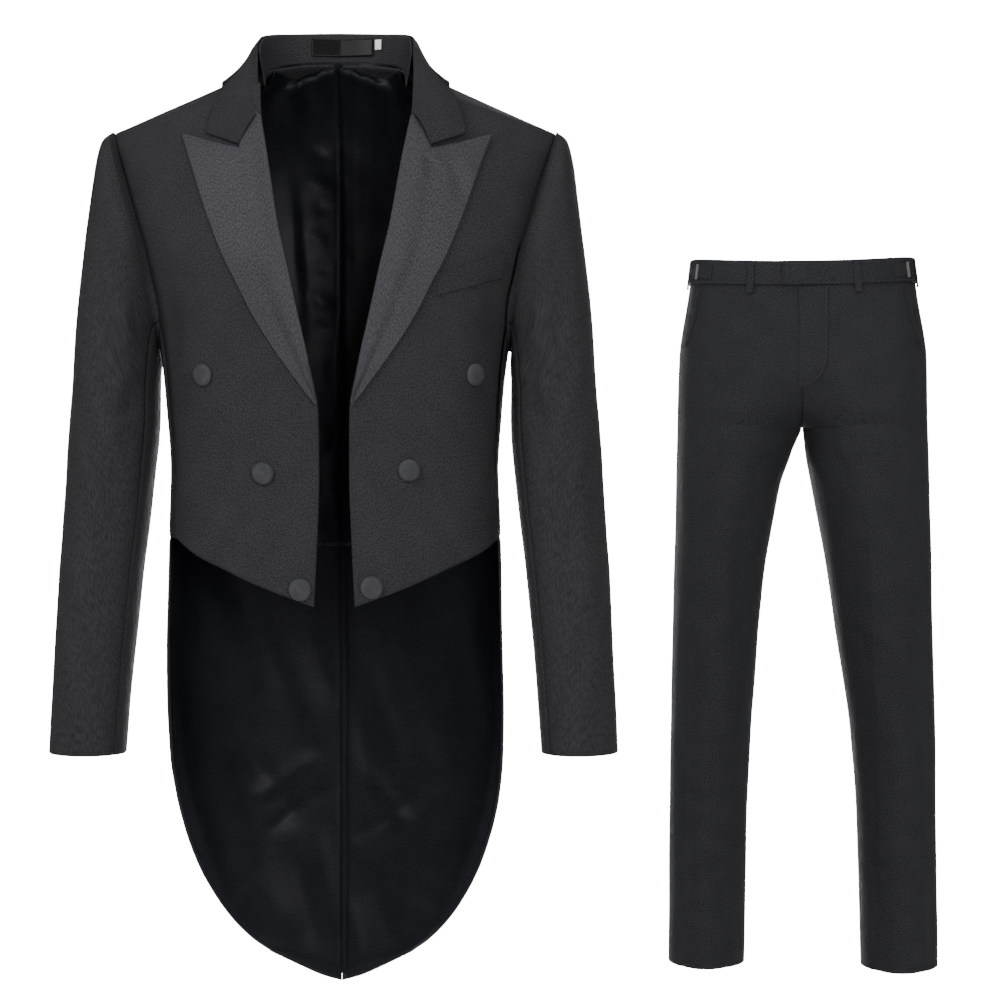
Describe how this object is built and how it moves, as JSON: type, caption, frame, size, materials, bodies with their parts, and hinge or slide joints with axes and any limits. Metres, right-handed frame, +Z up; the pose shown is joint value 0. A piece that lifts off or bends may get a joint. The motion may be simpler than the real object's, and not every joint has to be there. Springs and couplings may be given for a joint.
{
  "type": "tailcoat suit",
  "caption": "Evening tailcoat with peaked satin lapels and cutaway front, and its matching straight trousers, both filled out as if worn.",
  "frame": {"origin": "middle of the coat's neck, between the shoulder seams at the neck, where the wearer's shoulders hold it", "axes": "+Z up, -Y to the coat's front, +X to the wearer's left; the trousers hang beside and behind the coat at the same scale"},
  "size_m": [1.0727, 1.1647, 1.1461],
  "materials": {
    "coat_cloth": "matt fine worsted",
    "trouser_cloth": "matt fine worsted",
    "satin": "soft satin",
    "lining": "glossy lining twill",
    "ribbon": "glossy grosgrain ribbon",
    "tab": "plain white tape",
    "buttons": "cloth covered",
    "slide": "brushed"
  },
  "bodies": {
    "root": {"coat_back_left": "coat_cloth", "coat_back_right": "coat_cloth", "coat_button_1": "buttons", "coat_button_2": "buttons", "coat_button_3": "buttons", "coat_button_4": "buttons", "coat_button_5": "buttons", "coat_button_6": "buttons", "coat_collar": "coat_cloth", "coat_collar_stand": "coat_cloth", "coat_front_left": "coat_cloth", "coat_front_right": "coat_cloth", "coat_lapel_left": "satin", "coat_lapel_right": "satin", "coat_lining_left": "lining", "coat_lining_right": "lining", "coat_neck_ribbon": "ribbon", "coat_side_left": "coat_cloth", "coat_side_right": "coat_cloth", "coat_size_tab": "tab", "coat_skirt_left": "coat_cloth", "coat_skirt_right": "coat_cloth", "coat_tail_lining_left": "lining", "coat_tail_lining_right": "lining", "coat_top_sleeve_left": "coat_cloth", "coat_top_sleeve_right": "coat_cloth", "coat_under_sleeve_left": "coat_cloth", "coat_under_sleeve_right": "coat_cloth", "coat_vent_strip": "lining", "coat_welt_pocket": "coat_cloth", "trouser_back_left": "trouser_cloth", "trouser_back_right": "trouser_cloth", "trouser_belt_loop_1": "trouser_cloth", "trouser_belt_loop_2": "trouser_cloth", "trouser_belt_loop_3": "trouser_cloth", "trouser_belt_loop_4": "trouser_cloth", "trouser_belt_loop_5": "trouser_cloth", "trouser_fly": "trouser_cloth", "trouser_front_left": "trouser_cloth", "trouser_front_right": "trouser_cloth", "trouser_pocket_left": "trouser_cloth", "trouser_pocket_right": "trouser_cloth", "trouser_side_tab_left": "trouser_cloth", "trouser_side_tab_right": "trouser_cloth", "trouser_tab_slide_left": "slide", "trouser_tab_slide_right": "slide", "trouser_waistband": "trouser_cloth"}
  },
  "joints": []
}
